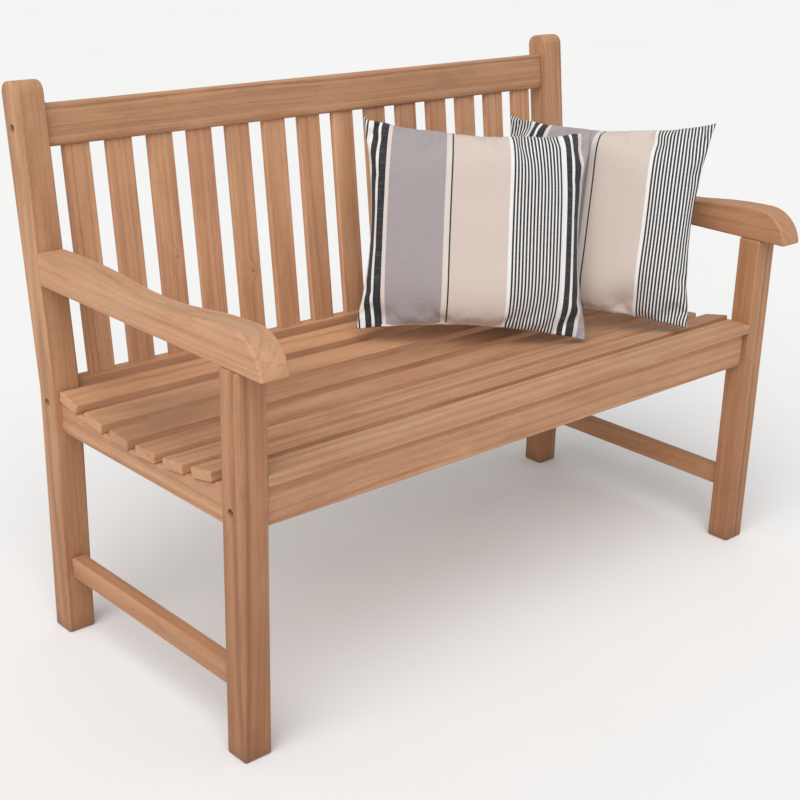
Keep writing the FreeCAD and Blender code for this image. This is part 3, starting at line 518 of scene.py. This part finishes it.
# %% Finish the fasteners
steel = Finish("stainless_steel")
spot = steel.place()
brushing = steel.noise(steel.stretched(spot, (60, 2600, 2600)), 1, 2)
smudge = steel.noise(spot, 90, 3)
steel.set(
    Base_Color=steel.ramp(smudge, [(0.35, (0.30, 0.28, 0.26)), (0.7, (0.52, 0.50, 0.47))]),
    Metallic=1.0,
    Roughness=0.30 + brushing * 0.22,
    Normal=steel.bump(brushing, 0.00005, 0.5),
)
for name in ("frame_bolts", "bolt_washers", "barrel_nuts", "seat_screws"):
    for slot in range(len(nodes[name].data.materials)):
        nodes[name].data.materials[slot] = steel.material
print("fasteners finished in", steel.material.name)

# %% [markdown]
# ## Sewing a cushion
# A scatter cushion is two square panels sewn face to face and stuffed. It can be made the same way:
# two flat grids share their border, then cloth physics blows them up. The seams at the top, the
# bottom and the corners shrink a little, which gathers the cloth beside them. The middle of each side
# seam is cut hollow instead, and doesn't shrink. The corners are left pointing out. The flat panel is
# wider than the finished cushion, because stuffing pulls the sides in.

# %% Define the sewn case
# one cell of the cloth grid
CELL = 0.0052
# half the thickness of the flat case, which gives the filling a side to push on
BELLY = 0.012
# how far a top corner points out; a bottom corner points out half as far
EAR = 0.011
# how far the middle of a side seam is cut in
PULL = 0.014


def flat_case(name, width, height):
    """Two panels in the XZ plane that share their border, with the cloth's own measure as UV."""
    columns, lines = round(width / CELL), round(height / CELL)
    panels = []
    for side in (-1, 1):
        bpy.ops.object.select_all(action="DESELECT")
        bpy.ops.mesh.primitive_grid_add(x_subdivisions=columns, y_subdivisions=lines, size=1)
        panel = bpy.context.object
        panel.scale = (width, height, 1)
        panel.rotation_euler = (QUARTER, 0, 0)
        bpy.ops.object.transform_apply(location=True, rotation=True, scale=True)
        for vertex in panel.data.vertices:
            x, z = vertex.co.x / (width / 2), vertex.co.z / (height / 2)
            belly = (1 - x**6) * (1 - z**6)
            ear = EAR * abs(x * z) ** 9 * (1 if z > 0 else 0.5)
            vertex.co.y = side * BELLY * max(belly, 0) ** 0.6
            vertex.co.x += math.copysign(1, x) * (ear - PULL * x**4 * (1 - z * z))
            vertex.co.z += math.copysign(ear, z)
        if side > 0:
            bpy.ops.object.mode_set(mode="EDIT")
            bpy.ops.mesh.select_all(action="SELECT")
            bpy.ops.mesh.flip_normals()
            bpy.ops.object.mode_set(mode="OBJECT")
        panels.append(panel)
    bpy.ops.object.select_all(action="DESELECT")
    for panel in panels:
        panel.select_set(True)
    bpy.context.view_layer.objects.active = panels[0]
    bpy.ops.object.join()
    case = bpy.context.object
    case.name = name
    measure = case.data.uv_layers[0]
    measure.name = "cloth_measure"
    for loop in case.data.loops:
        corner = case.data.vertices[loop.vertex_index].co
        measure.data[loop.index].uv = (corner.x + width / 2, corner.z + height / 2)
    bpy.ops.object.mode_set(mode="EDIT")
    bpy.ops.mesh.select_all(action="SELECT")
    bpy.ops.mesh.remove_doubles(threshold=0.0001)
    bpy.ops.object.mode_set(mode="OBJECT")
    return case


# %% [markdown]
# Filling is a cloth simulation with pressure inside and no gravity. The canvas is stiff along its
# threads, so it folds where it has to shorten, next to the seams. Two dozen frames are enough for it
# to fill out. Nothing is pinned, because the seam holds the case together by itself.

# %% Define how a case is filled
PRESSURE = 1.9
FRAMES = 24
# the part of its length that a seam loses when it is sewn
SEAM_SHRINK = 0.053


def fill_case(case, width, height):
    """Blow the case up with cloth physics and keep the result."""
    seam = case.vertex_groups.new(name="seam")
    for vertex in case.data.vertices:
        edge = min(width / 2 - abs(vertex.co.x), height / 2 - abs(vertex.co.z))
        if edge < CELL * 1.5:
            seam.add([vertex.index], 1.0 if edge < CELL * 0.5 else 0.5, "REPLACE")
    cloth = case.modifiers.new("filling", "CLOTH")
    settings = cloth.settings
    settings.quality = 7
    settings.mass = 0.25
    settings.air_damping = 2
    settings.tension_stiffness = 30
    settings.compression_stiffness = 12
    settings.shear_stiffness = 6
    settings.bending_stiffness = 0.5
    settings.use_pressure = True
    settings.uniform_pressure_force = PRESSURE
    settings.vertex_group_shrink = "seam"
    settings.shrink_min = 0.0
    settings.shrink_max = SEAM_SHRINK
    settings.effector_weights.gravity = 0
    cloth.collision_settings.use_collision = False
    scene = bpy.context.scene
    scene.frame_start, scene.frame_end = 1, FRAMES
    for frame_number in range(1, FRAMES + 1):
        scene.frame_set(frame_number)
    bpy.ops.object.select_all(action="DESELECT")
    case.select_set(True)
    bpy.context.view_layer.objects.active = case
    bpy.ops.object.modifier_apply(modifier=cloth.name)
    scene.frame_set(1)


# %% [markdown]
# The simulation leaves faint ripples in the middle of a face, where real stuffing keeps cloth taut.
# They are eased by a smoothing modifier that is limited to the middle, so the gathers at the seams
# stay crisp. The finished case is then stood on its bottom edge, turned and leaned back.

# %% Define how a cushion is finished and placed
# how far from the seam, across the cloth, the gathers start to fade and are gone
TAUT_FROM, TAUT_TO = 0.035, 0.100
EASE, EASE_ROUNDS = 0.7, 110


def smooth_case(case, width, height):
    """Ease the middle of both faces, which stuffing keeps taut, then subdivide once."""
    bpy.ops.object.select_all(action="DESELECT")
    case.select_set(True)
    bpy.context.view_layer.objects.active = case
    middle = case.vertex_groups.new(name="middle")
    measure = case.data.uv_layers["cloth_measure"].data
    for loop in case.data.loops:
        over, up = measure[loop.index].uv
        # the easing reaches nearer to the bottom seam, where the cushion's weight keeps the cloth taut
        below = (up + 0.02) * 0.9
        edge = min(over, width - over, below, height - up)
        taut = min(max((edge - TAUT_FROM) / (TAUT_TO - TAUT_FROM), 0), 1)
        middle.add([loop.vertex_index], taut * taut * (3 - 2 * taut), "REPLACE")
    easer = case.modifiers.new("ease", "SMOOTH")
    easer.factor = EASE
    easer.iterations = EASE_ROUNDS
    easer.vertex_group = "middle"
    bpy.ops.object.modifier_apply(modifier=easer.name)
    smoother = case.modifiers.new("smooth", "SUBSURF")
    smoother.levels = smoother.render_levels = 1
    bpy.ops.object.modifier_apply(modifier=smoother.name)
    bpy.ops.object.shade_smooth()


def cushion(name, width, height, place, turn, recline, tilt):
    """A finished cushion that stands on the middle of its bottom edge."""
    case = flat_case(name, width, height)
    fill_case(case, width, height)
    smooth_case(case, width, height)
    low = min(vertex.co.z for vertex in case.data.vertices)
    thick = max(vertex.co.y for vertex in case.data.vertices) * 2
    span = max(vertex.co.x for vertex in case.data.vertices) * 2
    rise = max(vertex.co.z for vertex in case.data.vertices) - low
    print(f"{name}: {span * 1000:.0f} wide, {rise * 1000:.0f} high, {thick * 1000:.0f} mm thick")
    stand = (Matrix.Translation(place) @ Matrix.Rotation(-turn, 4, "Z")
             @ Matrix.Rotation(-recline, 4, "X") @ Matrix.Rotation(-tilt, 4, "Y")
             @ Matrix.Translation((0, 0, -low)))
    case.data.transform(stand)
    case.data.update()
    return case


# %% [markdown]
# ## The striped cloth
# The cushions are cut from one striped canvas: broad grey and beige bands, a group of thin black
# and white pinstripes, and a few wider black lines, all woven along the cloth. Stripes must follow
# the cloth and not the room, so they read the measure that was stored before the case was filled.
# The bands are one ramp with hard steps, and the pinstripes are the fractional part of a repeat.

# %% Define the striped cloth
WHITE = (0.72, 0.705, 0.69)
CREAM = (0.61, 0.54, 0.50)
BEIGE = (0.555, 0.465, 0.415)
GREY = (0.320, 0.285, 0.290)
BLACK = (0.020, 0.022, 0.026)
REPEAT = 0.362
# where each band of one repeat starts, in metres across the cloth
BANDS = [(0.0, WHITE), (0.006, BLACK), (0.017, WHITE), (0.024, BLACK), (0.037, CREAM),
         (0.044, GREY), (0.147, CREAM), (0.1560, BLACK), (0.1592, BEIGE), (0.262, WHITE)]
PIN_START, PIN_PITCH = 0.2695, 0.00615
# the middle and half the width of a black pinstripe, as parts of the pitch
PIN_MIDDLE, PIN_HALF = 0.3, 0.285
ZIP_FROM, ZIP_TO, ZIP_DEEP = 0.045, 0.275, 0.0042
# two threads, one over and one under
WEAVE = 0.0009
ZIP_WHITE = (0.74, 0.73, 0.72)
SLUB = (0.30, 0.26, 0.24)
BRIGHT_YARN = (0.86, 0.80, 0.76)
SHADED_YARN = (0.42, 0.36, 0.33)


def canvas(name, shift, pins_to_edge):
    """Striped canvas that starts a shift after the seam; its pinstripes may run on to the edge."""
    cloth = Finish(name)
    measure = cloth.node("ShaderNodeUVMap", dict(uv_map="cloth_measure"))
    over, up, _ = cloth.axes(measure)
    slip = cloth.noise(cloth.stretched(measure, (30, 5, 1)), 1, 2) * 0.0006
    here = over + slip - shift
    run = here.wrapped(REPEAT)
    stops = [(start / REPEAT, colour) for start, colour in BANDS]
    colour = cloth.ramp(run / REPEAT, stops, "CONSTANT")
    pin = ((run - PIN_START) / PIN_PITCH).part()
    dark = (pin - PIN_MIDDLE).size().under(PIN_HALF)
    pinned = run.over(PIN_START)
    if pins_to_edge:
        tail = here.over(REPEAT)
        late = ((here - PIN_START) / PIN_PITCH).part()
        dark = dark.blend(tail, (late - PIN_MIDDLE).size().under(PIN_HALF))
        pinned = pinned.larger(tail)
    stripes = cloth.mix(dark, WHITE, BLACK)
    colour = cloth.mix(pinned, colour, stripes)

    # a white zip runs along the bottom seam, from near one corner to past the middle
    zip_line = up.under(ZIP_DEEP) * over.over(ZIP_FROM) * over.under(ZIP_TO)
    colour = cloth.mix(zip_line, colour, ZIP_WHITE)

    # threads of a plain weave, and slow unevenness of the yarn
    warp = (over * (2 * math.pi / WEAVE)).wave()
    weft = (up * (2 * math.pi / WEAVE)).wave()
    threads = warp * weft
    slubs = cloth.noise(cloth.stretched(measure, (900, 35, 1)), 1, 2)
    yarn = cloth.noise(cloth.stretched(measure, (40, 700, 1)), 1, 2)
    cloudy = cloth.noise(cloth.stretched(measure, (9, 9, 1)), 1, 2)
    colour = cloth.mix(slubs.between(0.45, 0.8) * 0.10, colour, SLUB)
    colour = cloth.mix(yarn.between(0.5, 0.8) * 0.10, colour, BRIGHT_YARN)
    colour = cloth.mix(cloudy.between(0.5, 0.85) * 0.06, colour, SHADED_YARN)
    relief = threads * 0.5 + slubs * 0.6 + yarn * 0.5
    cloth.set(
        Base_Color=colour,
        Roughness=0.86 + slubs * 0.08,
        Normal=cloth.bump(relief, 0.00016, 0.6),
        Specular_IOR_Level=0.22,
        Sheen_Weight=0.12,
        Sheen_Roughness=0.5,
    )
    return cloth.material


# %% [markdown]
# ## The two cushions
# The left one leans back across the middle of the seat. The right one is turned further to the
# left and stands more upright. Each stands clear of the slats and of the other one.

# %% Make both cushions
left_cushion = cushion("striped_cushion_left", 0.434, 0.378, (0.115, 0.014, 0.437),
                       math.radians(37), math.radians(24), math.radians(-3))
right_cushion = cushion("striped_cushion_right", 0.420, 0.366, (0.356, -0.041, 0.437),
                        math.radians(72), math.radians(18), math.radians(4))
for piece, body, shift, pins_to_edge in (
    (left_cushion, "cushion_left", 0.009, False),
    (right_cushion, "cushion_right", 0.049, True),
):
    piece.data.materials.clear()
    piece.data.materials.append(canvas(piece.name + "_canvas", shift, pins_to_edge))
    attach(piece, body)
    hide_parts("scatter_" + body)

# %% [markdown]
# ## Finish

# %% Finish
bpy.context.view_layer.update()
